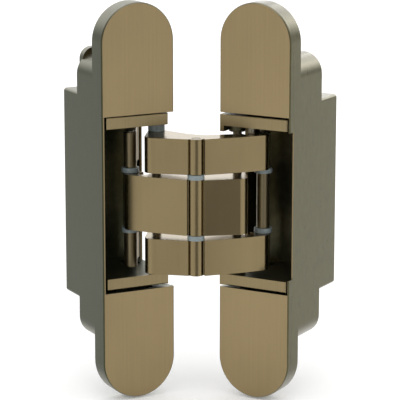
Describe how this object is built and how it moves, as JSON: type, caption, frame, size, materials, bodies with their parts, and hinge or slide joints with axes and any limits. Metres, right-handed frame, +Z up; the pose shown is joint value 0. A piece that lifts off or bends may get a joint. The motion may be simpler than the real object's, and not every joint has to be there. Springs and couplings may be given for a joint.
{
  "type": "concealed door hinge",
  "caption": "Concealed door hinge: two stepped metal housings with rounded face plates, joined by crossing arms, links and adjustable carriages.",
  "frame": {"origin": "centre of the left leaf's face, at mid height in the plane of its cover caps", "axes": "+Z up along the leaves, +Y from the left leaf's face into the frame that it is let into, +X towards the other leaf"},
  "size_m": [0.0882, 0.0636, 0.1428],
  "materials": {
    "housing": "satin bronze plated zinc casting",
    "cap": "satin bronze, brushed lengthwise",
    "carriage": "satin bronze plated zinc casting",
    "arm": "satin bronze, brushed lengthwise",
    "link": "satin bronze plated steel",
    "pin": "ground steel",
    "washer": "blue-grey bearing plastic",
    "clamp": "pressed steel",
    "screw": "plated steel"
  },
  "bodies": {
    "left_leaf": {"left_housing": "housing", "left_cap_upper": "cap", "left_cap_lower": "cap", "clamp_screw_upper": "screw", "clamp_screw_lower": "screw"},
    "clamp_plates": {"clamp_plate_upper": "clamp", "clamp_plate_lower": "clamp"},
    "left_carrier": {"left_carriage": "carriage", "left_near_pin": "pin", "left_near_washer_upper": "washer", "left_near_washer_lower": "washer"},
    "arm_pair": {"outer_arm_upper": "arm", "outer_arm_lower": "arm", "crossing_pin": "pin", "crossing_washer_upper": "washer", "crossing_washer_lower": "washer", "right_deep_pin": "pin", "right_deep_washer_upper": "washer", "right_deep_washer_lower": "washer"},
    "arm_middle": {"middle_arm": "arm", "left_deep_pin": "pin", "left_deep_washer_upper": "washer", "left_deep_washer_lower": "washer"},
    "left_links": {"left_link_upper": "link", "left_link_lower": "link", "left_link_pin": "pin"},
    "right_links": {"right_link": "link", "right_link_pin": "pin"},
    "right_carrier": {"right_carriage": "carriage", "right_near_pin": "pin", "stop_pin": "pin"},
    "right_leaf": {"right_housing": "housing", "right_cap_upper": "cap", "right_cap_lower": "cap"},
    "depth_screw_a": {"depth_screw_upper": "screw"},
    "depth_screw_b": {"depth_screw_lower": "screw"}
  },
  "joints": [
    {"name": "height_adjust", "type": "slide", "parent": "left_leaf", "child": "clamp_plates", "axis": [0, 0, 1], "range_m": [-0.0011, 0.0002]},
    {"name": "side_adjust", "type": "slide", "parent": "clamp_plates", "child": "left_carrier", "axis": [1, 0, 0], "range_m": [-0.0003, 0.0012]},
    {"name": "fold", "type": "hinge", "parent": "left_carrier", "child": "arm_pair", "pos_m": [0.0098, 0.00546, 0], "axis": [0, 0, 1], "range_deg": [-82.04, 37.96]},
    {"name": "crossing", "type": "hinge", "parent": "arm_pair", "child": "arm_middle", "pos_m": [0.01519, -0.01481, 0], "axis": [0, 0, 1], "range_deg": [-19.1, 41.1]},
    {"name": "right_near", "type": "hinge", "parent": "arm_middle", "child": "right_carrier", "pos_m": [0.03511, -0.00826, 0], "axis": [0, 0, 1], "range_deg": [-82.1, 38]},
    {"name": "left_deep", "type": "hinge", "parent": "arm_middle", "child": "left_links", "pos_m": [0.00043, 0.0077, 0], "axis": [0, 0, 1], "range_deg": [-26.8, 12.5]},
    {"name": "right_deep", "type": "hinge", "parent": "arm_pair", "child": "right_links", "pos_m": [0.0421, -0.0149, 0], "axis": [0, 0, 1], "range_deg": [-12.5, 26.8]},
    {"name": "depth_adjust", "type": "slide", "parent": "right_carrier", "child": "right_leaf", "axis": [0.8381, 0.5455, 0], "range_m": [-0.0008, 0.0008]},
    {"name": "depth_screw_turn_a", "type": "hinge", "parent": "right_leaf", "child": "depth_screw_a", "pos_m": [0.0451, -0.01346, 0.0395], "axis": [0.8381, 0.5455, 0], "range_deg": [-361, 361]},
    {"name": "depth_screw_turn_b", "type": "hinge", "parent": "right_leaf", "child": "depth_screw_b", "pos_m": [0.0451, -0.01346, -0.0395], "axis": [0.8381, 0.5455, 0], "range_deg": [-361, 361]}
  ],
  "couplings": [
    {"joint": "crossing", "follows": "fold", "ratio": -0.5},
    {"joint": "right_near", "follows": "fold", "ratio": 1},
    {"joint": "left_deep", "follows": "fold", "ratio": 0.325},
    {"joint": "right_deep", "follows": "fold", "ratio": -0.325},
    {"joint": "depth_screw_turn_a", "follows": "depth_adjust", "rad_per_m": 7854},
    {"joint": "depth_screw_turn_b", "follows": "depth_adjust", "rad_per_m": 7854}
  ]
}
